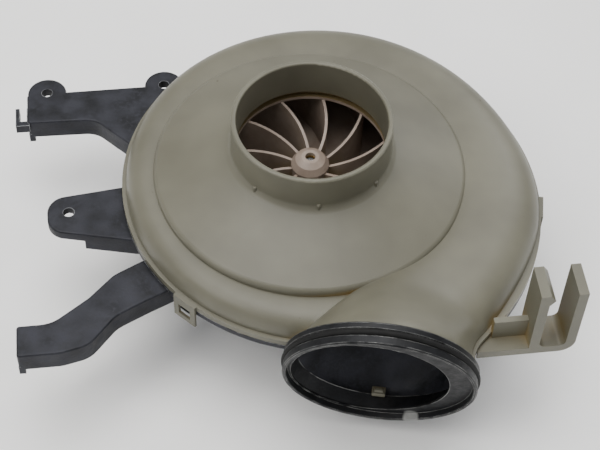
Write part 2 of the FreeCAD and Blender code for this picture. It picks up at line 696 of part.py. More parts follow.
bearing("front_bearing", FRONT_BEARING)
bearing("rear_bearing", REAR_BEARING)
turned("bearing_wave_washer", [
    ("bearing_outer - race_wall", FRONT_BEARING + " - 0.8"),
    ("bearing_outer - 0.2", FRONT_BEARING + " - 0.8"), ("bearing_outer - 0.2", FRONT_BEARING),
    ("bearing_outer - race_wall", FRONT_BEARING)])
turned("shaft_circlip", [
    ("shaft_radius", FRONT_BEARING + " + bearing_width"),
    ("shaft_radius + 1.5", FRONT_BEARING + " + bearing_width"),
    ("shaft_radius + 1.5", FRONT_BEARING + " + bearing_width + 0.8"),
    ("shaft_radius", FRONT_BEARING + " + bearing_width + 0.8")])

# ---------------------------------------------------------------- motor mounts and end shield
shield_top = value_of(SHIELD_TOP)
shield_foot = shield_top + size("shield_thickness")
front_bearing_top = value_of(FRONT_BEARING)
motor_radius = size("motor_radius")
bearing_outer = size("bearing_outer")
mount_places = around(mount_count, size("mount_circle"), 30.0)
mount_radius = size("mount_radius")
screw_radius = size("screw_radius")


def isolation_mounts():
    """Rubber washers between the casting's bosses and the motor's ears."""
    washers = []
    for place in mount_places:
        washer = column(place, mount_radius, boss_foot, shield_top)
        washers.append(washer.cut(column(place, screw_radius + 0.2, boss_foot - 1, shield_top + 1)))
    return Part.makeCompound(washers)


def end_shield():
    """The motor's front plate: a disc with three ears and the front bearing's seat."""
    disc = column(Vector(), motor_radius, shield_top, shield_foot)
    seat_foot = front_bearing_top + size("bearing_width") + 0.5
    solid = disc.fuse([column(Vector(), bearing_outer + 2.5, shield_top, seat_foot)])
    for place in mount_places:
        solid = solid.fuse([column(place, mount_radius, shield_top, shield_foot)])
        bridge = Part.makeBox(size("mount_circle") - motor_radius + 8, mount_radius * 2,
                              size("shield_thickness"),
                              Vector(motor_radius - 8, -mount_radius, -shield_foot))
        bridge.rotate(Vector(0, 0, 0), UP, math.degrees(math.atan2(place.y, place.x)))
        solid = solid.fuse([bridge])
    cuts = [column(Vector(), bearing_outer, front_bearing_top - 0.8, seat_foot + 1),
            column(Vector(), bearing_outer - size("race_wall"), shield_top - 1, seat_foot)]
    cuts += [column(place, screw_radius + 0.2, shield_top - 1, shield_foot + 1)
             for place in mount_places]
    solid = solid.cut(cuts)
    posts = [column(place, 2.2, shield_foot - 0.5, board_top) for place in board_places]
    return solid.fuse(posts)


def mount_screws():
    """Three screws that hold the motor's ears and their washers up against the bosses."""
    screws = []
    head = size("screw_head_height")
    for place in mount_places:
        shank = column(place, screw_radius - 0.15, chamber_floor + 1.2, shield_foot)
        cap = column(place, size("screw_head_radius"), shield_foot, shield_foot + head)
        drive = Part.makeCylinder(1.6, 1.6, Vector(place.x, place.y, -shield_foot - head))
        screws.append(shank.fuse([cap]).cut(drive))
    return Part.makeCompound(screws)


board_top = front_bearing_top + size("bearing_width") + 0.5
board_foot = board_top + size("board_thickness")
board_places = around(3, 30.0, 90.0)
housing_foot = shield_foot + size("motor_length")
housing_inner = motor_radius - size("motor_wall")
stator_top = board_foot + size("winding_overhang") + 1.0
stator_foot = stator_top + size("stator_stack")
stator_inner = size("stator_inner")
tooth_count = int(size("tooth_count"))

add_fixed("isolation_mounts", isolation_mounts())
add_fixed("end_shield", end_shield())
add_fixed("mount_screws", mount_screws())


# ---------------------------------------------------------------- motor
def stator_core():
    """A laminated ring with inward teeth that end in wider shoes."""
    yoke = ring_shape(housing_inner - 6, housing_inner, stator_top, stator_foot)
    teeth = []
    for place in around(tooth_count, 1.0):
        angle = math.degrees(math.atan2(place.y, place.x))
        tooth = block((stator_inner + 1, -2.5, -stator_foot), (housing_inner - 5, 2.5, -stator_top))
        tooth.rotate(Vector(0, 0, 0), UP, angle)
        teeth.append(tooth)
        shoe = ring_shape(stator_inner, stator_inner + 2, stator_top, stator_foot)
        sector = block((0, -5.6, -stator_foot - 1), (stator_inner + 5, 5.6, -stator_top + 1))
        sector.rotate(Vector(0, 0, 0), UP, angle)
        teeth.append(shoe.common(sector))
    return biggest(yoke.fuse(teeth))


def stator_windings():
    """One copper coil round each tooth."""
    coils = []
    over = size("winding_overhang")
    for place in around(tooth_count, 1.0):
        low = (stator_inner + 3, -5.0, -stator_foot - over)
        high = (housing_inner - 7.5, 5.0, -stator_top + over)
        coil = block(low, high)
        coil = coil.makeFillet(1.6, [edge for edge in coil.Edges if edge.BoundBox.XLength > 5])
        coil = coil.cut(block((0, -2.6, -stator_foot - 0.1), (60, 2.6, -stator_top + 0.1)))
        coil.rotate(Vector(0, 0, 0), UP, math.degrees(math.atan2(place.y, place.x)))
        coils.append(coil)
    return Part.makeCompound(coils)


def rotor_magnets():
    """Arc magnets on the rotor core, one for each pole."""
    outer = stator_inner - size("air_gap")
    inner = outer - size("magnet_thickness")
    ring = ring_shape(inner, outer, stator_top - 1, stator_foot + 1)
    slots = []
    for place in around(int(size("pole_count")), 1.0):
        slot = block((inner - 1, -size("magnet_gap") - 0.5, -stator_foot - 2),
                     (outer + 1, size("magnet_gap") + 0.5, -stator_top + 2))
        slot.rotate(Vector(0, 0, 0), UP, math.degrees(math.atan2(place.y, place.x)))
        slots.append(slot)
    return Part.makeCompound(ring.cut(slots).Solids)


def motor_housing():
    """A drawn cup over the motor, with the rear bearing's seat in its base."""
    wall = size("motor_wall")
    rear_top = value_of(REAR_BEARING)
    seat = bearing_outer + 2.0
    corners = [(housing_inner, shield_foot), (motor_radius, shield_foot),
               (motor_radius, housing_foot - 3), (motor_radius - 3, housing_foot),
               (0, housing_foot), (0, housing_foot - wall), (bearing_outer, housing_foot - wall),
               (bearing_outer, rear_top), (seat, rear_top), (seat, housing_foot - wall),
               (housing_inner - 2, housing_foot - wall), (housing_inner, housing_foot - wall - 2)]
    cup = turned_shape(corners)
    window = block((-9.5, housing_inner - 3, -plug_foot - 0.3), (9.5, 60, -shield_foot + 1))
    return biggest(cup.cut(window))


def connector_socket():
    """The plug-in socket on the board's edge, open to the outside of the motor."""
    body = block((-9, housing_inner - 7, -plug_foot), (9, motor_radius + 7, -plug_top))
    cavity = block((-7.4, motor_radius - 1, -plug_foot + 1.6),
                   (7.4, motor_radius + 9, -plug_top - 1.6))
    solid = body.cut(cavity)
    pins = [block((across - 0.4, motor_radius - 2, -plug_middle - 0.4),
                  (across + 0.4, motor_radius + 4, -plug_middle + 0.4))
            for across in (-4.5, -1.5, 1.5, 4.5)]
    return solid.fuse(pins)


def circuit_board():
    disc = ring_shape(bearing_outer + 4.0, housing_inner - 1.5, board_top, board_foot)
    bite = block((-10, housing_inner - 8, -board_foot - 1), (10, 60, -board_top + 1))
    return biggest(disc.cut(bite))


plug_top = shield_foot + 0.2
plug_foot = plug_top + 9.0
plug_middle = (plug_top + plug_foot) / 2
add_fixed("stator_core", stator_core())
add_fixed("stator_windings", stator_windings())
turned("rotor_core", [
    ("shaft_radius", STATOR_TOP + " - 1"),
    ("stator_inner - air_gap - magnet_thickness", STATOR_TOP + " - 1"),
    ("stator_inner - air_gap - magnet_thickness", STATOR_TOP + " + stator_stack + 1"),
    ("shaft_radius", STATOR_TOP + " + stator_stack + 1")])
add_fixed("rotor_magnets", rotor_magnets())
add_fixed("circuit_board", circuit_board())
add_fixed("connector_socket", connector_socket())
add_fixed("motor_housing", motor_housing())

# ---------------------------------------------------------------- check and write
doc.recompute()
PARTS = [item for item in doc.Objects
         if item.TypeId in ("Part::Feature", "PartDesign::Body", "Part::Torus")]
for item in doc.Objects:
    bad = {"Invalid", "Error"} & set(item.State)
    if bad:
        raise RuntimeError(f"{item.Label} is {bad}")
for piece in PARTS:
    if piece.Shape.isNull() or not piece.Shape.isValid():
        raise RuntimeError(f"{piece.Label} has no sound shape")
os.makedirs("parts", exist_ok=True)
for piece in PARTS:
    piece.Shape.exportStep(f"parts/{piece.Label}.step")
    print(f"{piece.Label}: {len(piece.Shape.Solids)} solid(s), {piece.Shape.Volume / 1000:.2f} cm3")
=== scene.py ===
# %% [markdown]
# # A combustion fan
# The fan that blows air and gas into a boiler's burner. A pale plastic scroll with a round
# inlet sits on a die-cast metal half, whose three arms carry the fan. A curved-blade wheel
# turns inside, on the shaft of a brushless motor under the casting.
# The hard parts come ready made from the CAD model, so this lesson gives each one a finish
# and adds the small details that a CAD model leaves out.

# %% Load the ready-made parts
import json
import math

import bpy
from mathutils import Matrix, Vector


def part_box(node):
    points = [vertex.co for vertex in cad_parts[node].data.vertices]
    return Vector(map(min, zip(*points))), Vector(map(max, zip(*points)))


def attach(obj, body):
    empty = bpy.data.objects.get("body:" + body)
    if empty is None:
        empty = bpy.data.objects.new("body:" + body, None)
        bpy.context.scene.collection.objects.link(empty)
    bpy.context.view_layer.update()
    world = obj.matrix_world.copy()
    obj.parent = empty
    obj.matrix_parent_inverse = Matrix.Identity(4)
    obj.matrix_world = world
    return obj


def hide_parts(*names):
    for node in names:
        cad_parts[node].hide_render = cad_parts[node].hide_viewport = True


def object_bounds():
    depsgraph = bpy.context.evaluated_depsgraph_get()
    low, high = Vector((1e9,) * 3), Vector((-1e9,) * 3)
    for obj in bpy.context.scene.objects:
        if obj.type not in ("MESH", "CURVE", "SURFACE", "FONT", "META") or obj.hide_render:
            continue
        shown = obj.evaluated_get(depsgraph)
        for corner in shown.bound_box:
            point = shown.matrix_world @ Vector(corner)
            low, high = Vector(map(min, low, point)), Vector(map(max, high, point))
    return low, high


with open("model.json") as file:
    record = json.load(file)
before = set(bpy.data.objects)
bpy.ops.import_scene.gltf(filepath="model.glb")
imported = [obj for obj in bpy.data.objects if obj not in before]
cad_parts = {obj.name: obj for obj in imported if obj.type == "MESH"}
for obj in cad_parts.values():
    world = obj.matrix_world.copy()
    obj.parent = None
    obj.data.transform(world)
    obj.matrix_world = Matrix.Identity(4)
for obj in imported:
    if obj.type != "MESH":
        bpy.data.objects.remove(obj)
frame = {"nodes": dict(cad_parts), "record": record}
cad_box = [list(corner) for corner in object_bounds()]
MM = 0.001
print(len(frame["nodes"]), "parts,", [round(v, 4) for v in cad_box[0] + cad_box[1]])

# %% [markdown]
# ## The camera
# We look down on the fan at about fifty degrees, with the outlet to the front. A long lens
# keeps the circles of the inlet and the outlet true. The camera's three axes are worked out
# from its azimuth, elevation and roll, so it needs no target object.

# %% Place the camera
AZIMUTH = math.radians(5.095)
ELEVATION = math.radians(51.949)
ROLL = math.radians(2.469)
AIM = Vector((1.97, -62.87, 0)) * MM
DISTANCE = 668.7 * MM

backward = Vector((math.sin(AZIMUTH) * math.cos(ELEVATION),
                   -math.cos(AZIMUTH) * math.cos(ELEVATION), math.sin(ELEVATION)))
level = backward.cross(Vector((0, 0, 1))).normalized() * -1
upward = backward.cross(level)
right = level * math.cos(ROLL) + upward * math.sin(ROLL)
above = upward * math.cos(ROLL) - level * math.sin(ROLL)
lens = bpy.data.cameras.new("camera")
lens.lens, lens.sensor_width = 90, 36
lens.clip_start, lens.clip_end = 0.01, 20
camera = bpy.data.objects.new("camera", lens)
bpy.context.scene.collection.objects.link(camera)
turned = Matrix((right, above, backward)).transposed().to_4x4()
camera.matrix_world = Matrix.Translation(AIM + backward * DISTANCE) @ turned
bpy.context.scene.camera = camera
print("camera at", [round(v, 3) for v in camera.location])

# %% [markdown]
# ## Floor and light
# A studio table is one pale sheet. Three large soft lamps stand for softboxes: a wide one
# over the fan, a key from the front left and a weak one behind. Places and sizes are in
# metres, powers in watts. Large lamps give the broad,
# quiet highlights that plastic and castings need.

# %% Make the floor and the lamps
FLOOR_Z = cad_box[0][2] - 0.0002


def aimed_lamp(name, place, size, power, tint):
    """A square area lamp at a place in metres, pointed at the fan."""
    data = bpy.data.lights.new(name, "AREA")
    data.size, data.energy, data.color = size, power, tint
    lamp = bpy.data.objects.new(name, data)
    bpy.context.scene.collection.objects.link(lamp)
    lamp.location = place
    lamp.rotation_euler = (Vector((0, 0, -0.04)) - lamp.location).to_track_quat("-Z", "Y").to_euler()
    return lamp


bpy.ops.object.select_all(action="DESELECT")
bpy.ops.mesh.primitive_plane_add(size=8, location=(0, 0, FLOOR_Z))
floor = bpy.context.object
floor.name = "floor"
lamps = [
    aimed_lamp("overhead", (-0.15, 0.1, 1.4), size=1.2, power=22, tint=(1.0, 0.99, 0.97)),
    aimed_lamp("key", (-0.8, -0.6, 1.1), size=0.6, power=7, tint=(1.0, 0.98, 0.95)),
    aimed_lamp("rim", (0.5, 1.0, 0.8), size=0.6, power=5, tint=(0.97, 0.98, 1.0))]
world = bpy.data.worlds.new("studio")
world.use_nodes = True
world.node_tree.nodes["Background"].inputs["Color"].default_value = (1.0, 1.0, 1.0, 1.0)
world.node_tree.nodes["Background"].inputs["Strength"].default_value = 0.6
bpy.context.scene.world = world
print("floor at", round(FLOOR_Z, 4), "and", len(lamps), "lamps")

# %% [markdown]
# ## Tools for the finishes
# A finish is a small tree of nodes that ends in one shader. Colours are written as the hex
# codes a paint chart gives and turned to linear light here. Patterns are sized in
# millimetres: `per_mm(3)` is the scale of a pattern whose marks are about 3 mm wide.

# %% Helpers that add nodes
def colour(code):
    """A hex colour as linear light with full opacity."""
    channels = [int(code[index:index + 2], 16) / 255 for index in (1, 3, 5)]
    return [c / 12.92 if c <= 0.04045 else ((c + 0.055) / 1.055) ** 2.4 for c in channels] + [1.0]


def per_mm(width):
    return 1 / (width * MM)


def add(tree, kind, inputs, **settings):
    """Add a node, change its settings, and fill or link its inputs. Text is a hex colour."""
    made = tree.nodes.new(kind)
    for name, value in settings.items():
        setattr(made, name, value)
    for name, value in inputs.items():
        if isinstance(value, bpy.types.NodeSocket):
            tree.links.new(value, made.inputs[name])
        else:
            made.inputs[name].default_value = colour(value) if isinstance(value, str) else value
    return made


def begin(name, values):
    """A new finish with constant values on its shader. Gives the tree, shader and place."""
    material = bpy.data.materials.new(name)
    material.use_nodes = True
    tree = material.node_tree
    shader = tree.nodes["Principled BSDF"]
    for socket, value in values.items():
        shader.inputs[socket].default_value = value
    place = add(tree, "ShaderNodeTexCoord", {}).outputs["Object"]
    return material, tree, shader, place


def clouds(tree, place, width, low, high, detail=3.0):
    """Soft patches of a width in mm, as a share from 0 to 1 between two noise levels."""
    noise = add(tree, "ShaderNodeTexNoise",
                {"Vector": place, "Scale": per_mm(width), "Detail": detail, "Roughness": 0.55})
    return add(tree, "ShaderNodeMapRange",
               {"Value": noise.outputs["Fac"], "From Min": low, "From Max": high}).outputs[0]


def grain(tree, shader, place, width, depth, strength):
    """Roughen the surface with soft bumps of a width and a depth in mm."""
    bump = add(tree, "ShaderNodeBump", {"Height": clouds(tree, place, width, 0.3, 0.7),
                                        "Distance": depth * MM, "Strength": strength})
    tree.links.new(bump.outputs["Normal"], shader.inputs["Normal"])


print("marks 3 mm wide have the scale", round(per_mm(3), 1))

# %% [markdown]
# ## Layers of painted hollow tone and wear
# Real surfaces are never one tone. Two colours in soft patches are the base. Hollows, which
# ambient occlusion finds, get a painted tone that stands in for their shade and tinted light,
# and handling rubs corners, which a bevel node finds.
# A Mix node blends two colours by a share, so each layer is one more Mix.

# %% Helpers for patches, painted hollow tone and wear
# A Mix node's sockets for its share and its two colours, and for the colour that it gives.
SHARE, FIRST, SECOND, MIXED = 0, 6, 7, 2


def mottled(tree, place, width, low, high, first, second):
    """Two colours in soft patches of a width in mm."""
    share = clouds(tree, place, width, low, high)
    return add(tree, "ShaderNodeMix", {SHARE: share, FIRST: first, SECOND: second},
               data_type="RGBA").outputs[MIXED]


def painted_hollow_share(tree, reach, low, high):
    """A share from 0 in the open to 1 in hollows narrower than a reach in mm, where the shade and
    tinted light of hollows are painted.
    """
    open_air = add(tree, "ShaderNodeAmbientOcclusion", {"Distance": reach * MM}, samples=8)
    return add(tree, "ShaderNodeMapRange",
               {"Value": open_air.outputs["AO"], "From Min": high, "From Max": low}).outputs[0]


def worn_edges(tree, radius):
    """A share that is 1 on outer and inner corners and 0 on faces, for a wear radius in mm."""
    soft = add(tree, "ShaderNodeBevel", {"Radius": radius * MM}, samples=6)
    flat = add(tree, "ShaderNodeNewGeometry", {})
    match = add(tree, "ShaderNodeVectorMath",
                {0: soft.outputs[0], 1: flat.outputs["Normal"]}, operation="DOT_PRODUCT")
    # The dot product of the two normals is 1 on a face and falls as a corner gets sharper.
    return add(tree, "ShaderNodeMapRange",
               {"Value": match.outputs["Value"], "From Min": 0.985, "From Max": 0.86}).outputs[0]


print("patches, dirt and wear ready")

# %% [markdown]
# ## The table top
# Matt white card. It has almost no gloss, so the fan's shadow stays soft.

# %% Card for the floor
card, tree, shader, place = begin("white_card", {"Roughness": 0.9, "IOR": 1.45})
tree.links.new(mottled(tree, place, 60, 0.3, 0.7, "#fbfbfa", "#ffffff"),
               shader.inputs["Base Color"])
floor.data.materials.append(card)
print(card.name)

# %% [markdown]
# ## Natural polypropylene
# The scroll is moulded from plastic with no pigment, so it is a milky greenish grey and light
# soaks a few millimetres into it. Soft cloudy patches come from uneven wall thickness. Hollows
# are painted a lighter warm olive, for the light that has come through the plastic into them.

# %% Plastic for the scroll
shell_plastic, tree, shader, place = begin(
    "moulded_natural_polypropylene",
    {"Roughness": 0.44, "IOR": 1.49, "Subsurface Weight": 0.1, "Subsurface Scale": 0.003,
     "Subsurface Radius": (1.0, 0.9, 0.6)})
milky = mottled(tree, place, 45, 0.35, 0.65, "#5c5a4d", "#696759")
# Painted light: hollows are coloured a lighter warm olive, for light that comes through the plastic.
hollow_glow = painted_hollow_share(tree, 60, 0.02, 0.4)
hollow_lit = add(tree, "ShaderNodeMix", {SHARE: hollow_glow, FIRST: milky, SECOND: "#9a824d"},
            data_type="RGBA").outputs[MIXED]
specks = clouds(tree, place, 4, 0.8, 0.84, 1.0)
specked = add(tree, "ShaderNodeMix", {SHARE: specks, FIRST: hollow_lit, SECOND: "#4f4b3b"},
              data_type="RGBA").outputs[MIXED]
tree.links.new(specked, shader.inputs["Base Color"])
grain(tree, shader, place, 0.9, 0.03, 0.35)
print(shell_plastic.name)

# %% [markdown]
# ## Pressure die-cast aluminium
# The lower half and its arms come out of the die with a dark mottled skin, from the release
# spray that bakes on it. Handling rubs that skin off corners, which shine. The outlet's collar is
# a darker zinc casting with one chip on its corner, about 3 mm in radius.

# %% Metal for the castings
CHIP_RADIUS, CHIP_EDGE = 3.2, 1.2
CHIPPED_CORNER = (62, -100.5, -90)


def cast_metal(name, dark, light, shine, roughness, patch, chips=()):
    """Die-cast skin between two tones, with painted shade in hollows, bright worn corners and chipped
    spots.
    """
    material, tree, shader, place = begin(name, {"Metallic": 0.55})
    skin = mottled(tree, place, patch, 0.32, 0.68, dark, light)
    blotch = add(tree, "ShaderNodeMath",
                 {0: clouds(tree, place, patch / 4, 0.5, 0.72), 1: clouds(tree, place, 22, 0.4, 0.6)},
                 operation="MULTIPLY").outputs[0]
    skin = add(tree, "ShaderNodeMix", {SHARE: blotch, FIRST: skin, SECOND: light},
               data_type="RGBA").outputs[MIXED]
    # Painted shade: hollows are coloured near black, for the shade that falls in them.
    hollow_shade = painted_hollow_share(tree, 40, 0.1, 0.6)
    skin = add(tree, "ShaderNodeMix", {SHARE: hollow_shade, FIRST: skin, SECOND: "#16160f"},
               data_type="RGBA").outputs[MIXED]
    rubbed = add(tree, "ShaderNodeMath",
                 {0: worn_edges(tree, 0.7), 1: clouds(tree, place, 6, 0.35, 0.6)},
                 operation="MULTIPLY").outputs[0]
    skin = add(tree, "ShaderNodeMix", {SHARE: rubbed, FIRST: skin, SECOND: shine},
               data_type="RGBA").outputs[MIXED]
    for spot in chips:
        away = add(tree, "ShaderNodeVectorMath", {0: place, 1: [v * MM for v in spot]},
                   operation="DISTANCE")
        chip = add(tree, "ShaderNodeMapRange", {"Value": away.outputs["Value"],
                                                "From Min": (CHIP_RADIUS + CHIP_EDGE) * MM,
                                                "From Max": CHIP_RADIUS * MM})
        skin = add(tree, "ShaderNodeMix", {SHARE: chip.outputs[0], FIRST: skin,
                                           SECOND: "#8b8c8a"}, data_type="RGBA").outputs[MIXED]
    tree.links.new(skin, shader.inputs["Base Color"])
    polish = add(tree, "ShaderNodeMapRange",
                 {"Value": clouds(tree, place, patch / 2, 0.3, 0.7), "To Min": roughness - 0.1,
                  "To Max": roughness + 0.1})
    tree.links.new(polish.outputs[0], shader.inputs["Roughness"])
    grain(tree, shader, place, 1.3, 0.09, 0.5)
    return material


die_cast = cast_metal("die_cast_aluminium", "#18191d", "#303138", "#9b9da0", 0.55, 9)
collar_metal = cast_metal("die_cast_zinc_dark", "#0d0e10", "#1c1d20", "#a3a4a2", 0.5, 7,
                          chips=[CHIPPED_CORNER])
print(die_cast.name, collar_metal.name)

# %% [markdown]
# ## Wheel plastic
# Glass-filled nylon, a pinkish cream. The floor between the blades is painted olive, for the
# shade that falls between them.

# %% Plastic for the wheel
wheel_plastic, tree, shader, place = begin(
    "glass_filled_nylon", {"Roughness": 0.5, "IOR": 1.53})
cream = mottled(tree, place, 8, 0.35, 0.65, "#85766a", "#94867a")
# Painted shade: hollows between the blades are coloured olive, for the shade that falls there.
olive_shade_share = painted_hollow_share(tree, 16, 0.03, 0.42)
olive_shaded = add(tree, "ShaderNodeMix", {SHARE: olive_shade_share, FIRST: cream, SECOND: "#8d7a4a"},
             data_type="RGBA").outputs[MIXED]
tree.links.new(olive_shaded, shader.inputs["Base Color"])
grain(tree, shader, place, 0.7, 0.03, 0.4)
print(wheel_plastic.name)

# %% [markdown]
# ## Rubber, gasket and board
# Seals are matt black nitrile rubber. The gasket is pressed fibre with visible flecks. The
# motor's board is glass-epoxy under green solder mask, with copper tracks faintly raised.

# %% Rubber, fibre and board
rubber, tree, shader, place = begin("nitrile_rubber", {"Roughness": 0.75, "IOR": 1.52,
                                                   "Specular IOR Level": 0.3})
tree.links.new(mottled(tree, place, 4, 0.4, 0.65, "#070707", "#0e0e0e"),
               shader.inputs["Base Color"])
grain(tree, shader, place, 0.6, 0.02, 0.4)

fibre, tree, shader, place = begin("pressed_fibre_gasket", {"Roughness": 0.85, "IOR": 1.5})
tree.links.new(mottled(tree, place, 1.2, 0.45, 0.6, "#5c564b", "#7c7566"),
               shader.inputs["Base Color"])
grain(tree, shader, place, 0.5, 0.05, 0.5)

board, tree, shader, place = begin("solder_mask_board", {"Roughness": 0.32, "IOR": 1.55,
                                                         "Coat Weight": 0.3})
tracks = add(tree, "ShaderNodeTexVoronoi", {"Vector": place, "Scale": per_mm(3.4)},
             feature="DISTANCE_TO_EDGE", distance="EUCLIDEAN")
track = add(tree, "ShaderNodeMapRange", {"Value": tracks.outputs["Distance"], "From Min": 0.1,
                                         "From Max": 0.14}).outputs[0]
mask = add(tree, "ShaderNodeMix", {SHARE: track, FIRST: "#2f7a46", SECOND: "#1d5a34"},
           data_type="RGBA").outputs[MIXED]
tree.links.new(mask, shader.inputs["Base Color"])
raised = add(tree, "ShaderNodeBump", {"Height": track, "Distance": 0.04 * MM, "Strength": 0.5})
tree.links.new(raised.outputs["Normal"], shader.inputs["Normal"])
print(rubber.name, fibre.name, board.name)

# %% [markdown]
# ## Machined and stamped metals
# Shaft, bearings and screws are turned or ground, which leaves fine rings round the motor's
# axis. The rings come from the distance to that axis. Real ones are under 0.1 mm apart, too
# fine to see, so they are drawn 0.4 to 0.8 mm apart. Laminations show as a stack of 0.5 mm
# sheets. The coils' copper carries fine bands 0.6 mm apart, where turn lies against turn.

# %% Metals inside the motor
def waves_per_mm(width):
    """The wave texture's scale for one wave in a width in mm: it repeats every tau / 20."""
    return math.tau / 20 / (width * MM)


def ringed_metal(name, dark, light, roughness, width):
    """Metal turned on a lathe: fine rings of a width in mm round the fan's axis."""
    material, tree, shader, place = begin(name, {"Metallic": 1.0})
    rings = add(tree, "ShaderNodeTexWave", {"Vector": place, "Scale": waves_per_mm(width),
                                            "Distortion": 0.6, "Detail": 2.0},
                wave_type="RINGS", rings_direction="Z")
    tone = add(tree, "ShaderNodeMix", {SHARE: rings.outputs["Fac"], FIRST: dark, SECOND: light},
               data_type="RGBA").outputs[MIXED]
    tree.links.new(tone, shader.inputs["Base Color"])
    polish = add(tree, "ShaderNodeMapRange",
                 {"Value": clouds(tree, place, 3, 0.3, 0.7), "To Min": roughness - 0.06,
                  "To Max": roughness + 0.08})
    tree.links.new(polish.outputs[0], shader.inputs["Roughness"])
    cut = add(tree, "ShaderNodeBump",
              {"Height": rings.outputs["Fac"], "Distance": 0.01 * MM, "Strength": 0.3})
    tree.links.new(cut.outputs["Normal"], shader.inputs["Normal"])
    return material


def stacked_metal(name, dark, light, metallic, roughness, pitch, depth):
    """Layers of a pitch in mm, one over another along the motor's axis."""
    material, tree, shader, place = begin(name, {"Metallic": metallic, "Roughness": roughness})
    layers = add(tree, "ShaderNodeTexWave", {"Vector": place, "Scale": waves_per_mm(pitch)},
                 wave_type="BANDS", bands_direction="Z")
    shade = add(tree, "ShaderNodeMath",
                {0: layers.outputs["Fac"], 1: clouds(tree, place, 2, 0.2, 0.7)},
                operation="MULTIPLY").outputs[0]
    tone = add(tree, "ShaderNodeMix", {SHARE: shade, FIRST: dark, SECOND: light},
               data_type="RGBA").outputs[MIXED]
    tree.links.new(tone, shader.inputs["Base Color"])
    steps = add(tree, "ShaderNodeBump",
                {"Height": layers.outputs["Fac"], "Distance": depth * MM, "Strength": 0.6})
    tree.links.new(steps.outputs["Normal"], shader.inputs["Normal"])
    return material


ground_steel = ringed_metal("ground_steel", "#9da1a5", "#c5c9cc", 0.25, 0.4)
zinc_steel = ringed_metal("zinc_plated_steel", "#8f9499", "#b6babd", 0.36, 0.8)
brass = ringed_metal("turned_brass", "#a58247", "#c6a566", 0.3, 0.4)
laminations = stacked_metal("stamped_lamination_steel", "#3c3e42", "#6c6f74", 0.9, 0.45, 0.5, 0.05)
copper = stacked_metal("enamelled_copper_wire", "#7c3a1c", "#c9743f", 0.8, 0.35, 0.6, 0.12)
print("motor metals ready")

# %% [markdown]
# ## Magnets and plug
# The rotor's magnets are sintered ferrite, a fired ceramic that is dark, a little shiny and
# finely pitted. The socket for the plug is moulded in nylon with no pigment, near white.

# %% Ceramic and plug plastic
ferrite, tree, shader, place = begin("sintered_ferrite", {"Roughness": 0.6, "IOR": 1.6,
                                                          "Metallic": 0.2})
tree.links.new(mottled(tree, place, 1.5, 0.4, 0.65, "#262527", "#3a393b"),
               shader.inputs["Base Color"])
grain(tree, shader, place, 0.4, 0.03, 0.4)
plug_plastic, tree, shader, place = begin("moulded_white_nylon", {"Roughness": 0.4, "IOR": 1.53})
tree.links.new(mottled(tree, place, 6, 0.35, 0.65, "#ded9ca", "#ece8dc"),
               shader.inputs["Base Color"])
grain(tree, shader, place, 0.6, 0.02, 0.35)
print(ferrite.name, plug_plastic.name)

# %% [markdown]
# ## Dress the ready-made parts
# Each part of the CAD model names the material it is made of. Here that name picks its
# finish, which goes on all of the part's material slots.

# %% Give every ready-made part its finish
FINISHES = {
    "shell_plastic": shell_plastic, "die_cast_alloy": die_cast, "collar_alloy": collar_metal,
    "black_rubber": rubber, "wheel_plastic": wheel_plastic, "gasket_fibre": fibre,
    "bush_brass": brass, "ground_steel": ground_steel, "zinc_steel": zinc_steel,
    "lamination_steel": laminations, "copper_wire": copper, "magnet_ferrite": ferrite,
    "board_laminate": board, "connector_plastic": plug_plastic}
for subpart in frame["record"]["subparts"]:
    part = frame["nodes"][subpart["node"]]
    for spot in part.material_slots:
        spot.material = FINISHES[subpart["material_slot"]]
    print(subpart["node"], "is", part.material_slots[0].material.name)

# %% [markdown]
# ## Modelling the small details
# The pieces below are modelled the way a person would: add a primitive, select some of its
# faces or edges, extrude, inset or bevel them, and apply. In code, faces are selected by
# where they are and which way they look.

# %% Helpers for selecting and softening
def begin_piece():
    """Leave edit mode and select nothing, so that the next operator acts on one piece."""
    if bpy.context.object and bpy.context.object.mode != "OBJECT":
        bpy.ops.object.mode_set(mode="OBJECT")
    bpy.ops.object.select_all(action="DESELECT")


def pick(test):
    """In edit mode, select only the faces whose middle and normal pass a test."""
    bpy.ops.object.mode_set(mode="EDIT")
    bpy.ops.mesh.select_mode(type="FACE")
    bpy.ops.mesh.select_all(action="DESELECT")
    bpy.ops.object.mode_set(mode="OBJECT")
    for face in bpy.context.object.data.polygons:
        face.select = test(face.center, face.normal)
    bpy.ops.object.mode_set(mode="EDIT")


def soften(width, segments=2):
    """Bevel every edge sharper than 30 degrees by a width in mm."""
    bpy.ops.object.mode_set(mode="OBJECT")
    bevel = bpy.context.object.modifiers.new("soften", "BEVEL")
    bevel.width, bevel.segments, bevel.limit_method = width * MM, segments, "ANGLE"
    bpy.ops.object.modifier_apply(modifier="soften")


print("selecting and softening ready")

# %% [markdown]
# ## Placing and finishing a piece
# A detail that repeats round the fan is modelled once on the +X side, turned to its place and
# copied, each copy with its own mesh. At the end the piece's place goes into its mesh, so its
# finish doesn't slide on it.

# %% Helpers for placing and finishing
def turn_piece(angle):
    """Turn the active object's mesh about the fan's axis by an angle in degrees."""
    bpy.ops.object.transform_apply(location=True, rotation=True, scale=True)
    bpy.context.object.rotation_euler.z = math.radians(angle)
    bpy.ops.object.transform_apply(location=True, rotation=True, scale=True)


def copies_round(angles):
    """Copy the active object to more angles about the fan's axis and join the copies."""
    first = bpy.context.object
    bpy.ops.object.transform_apply(location=True, rotation=True, scale=True)
    made = [first]
    for angle in angles:
        twin = first.copy()
        twin.data = first.data.copy()
        bpy.context.scene.collection.objects.link(twin)
        twin.data.transform(Matrix.Rotation(math.radians(angle), 4, "Z"))
        made.append(twin)
    for piece in made:
        piece.select_set(True)
    bpy.context.view_layer.objects.active = first
    bpy.ops.object.join()


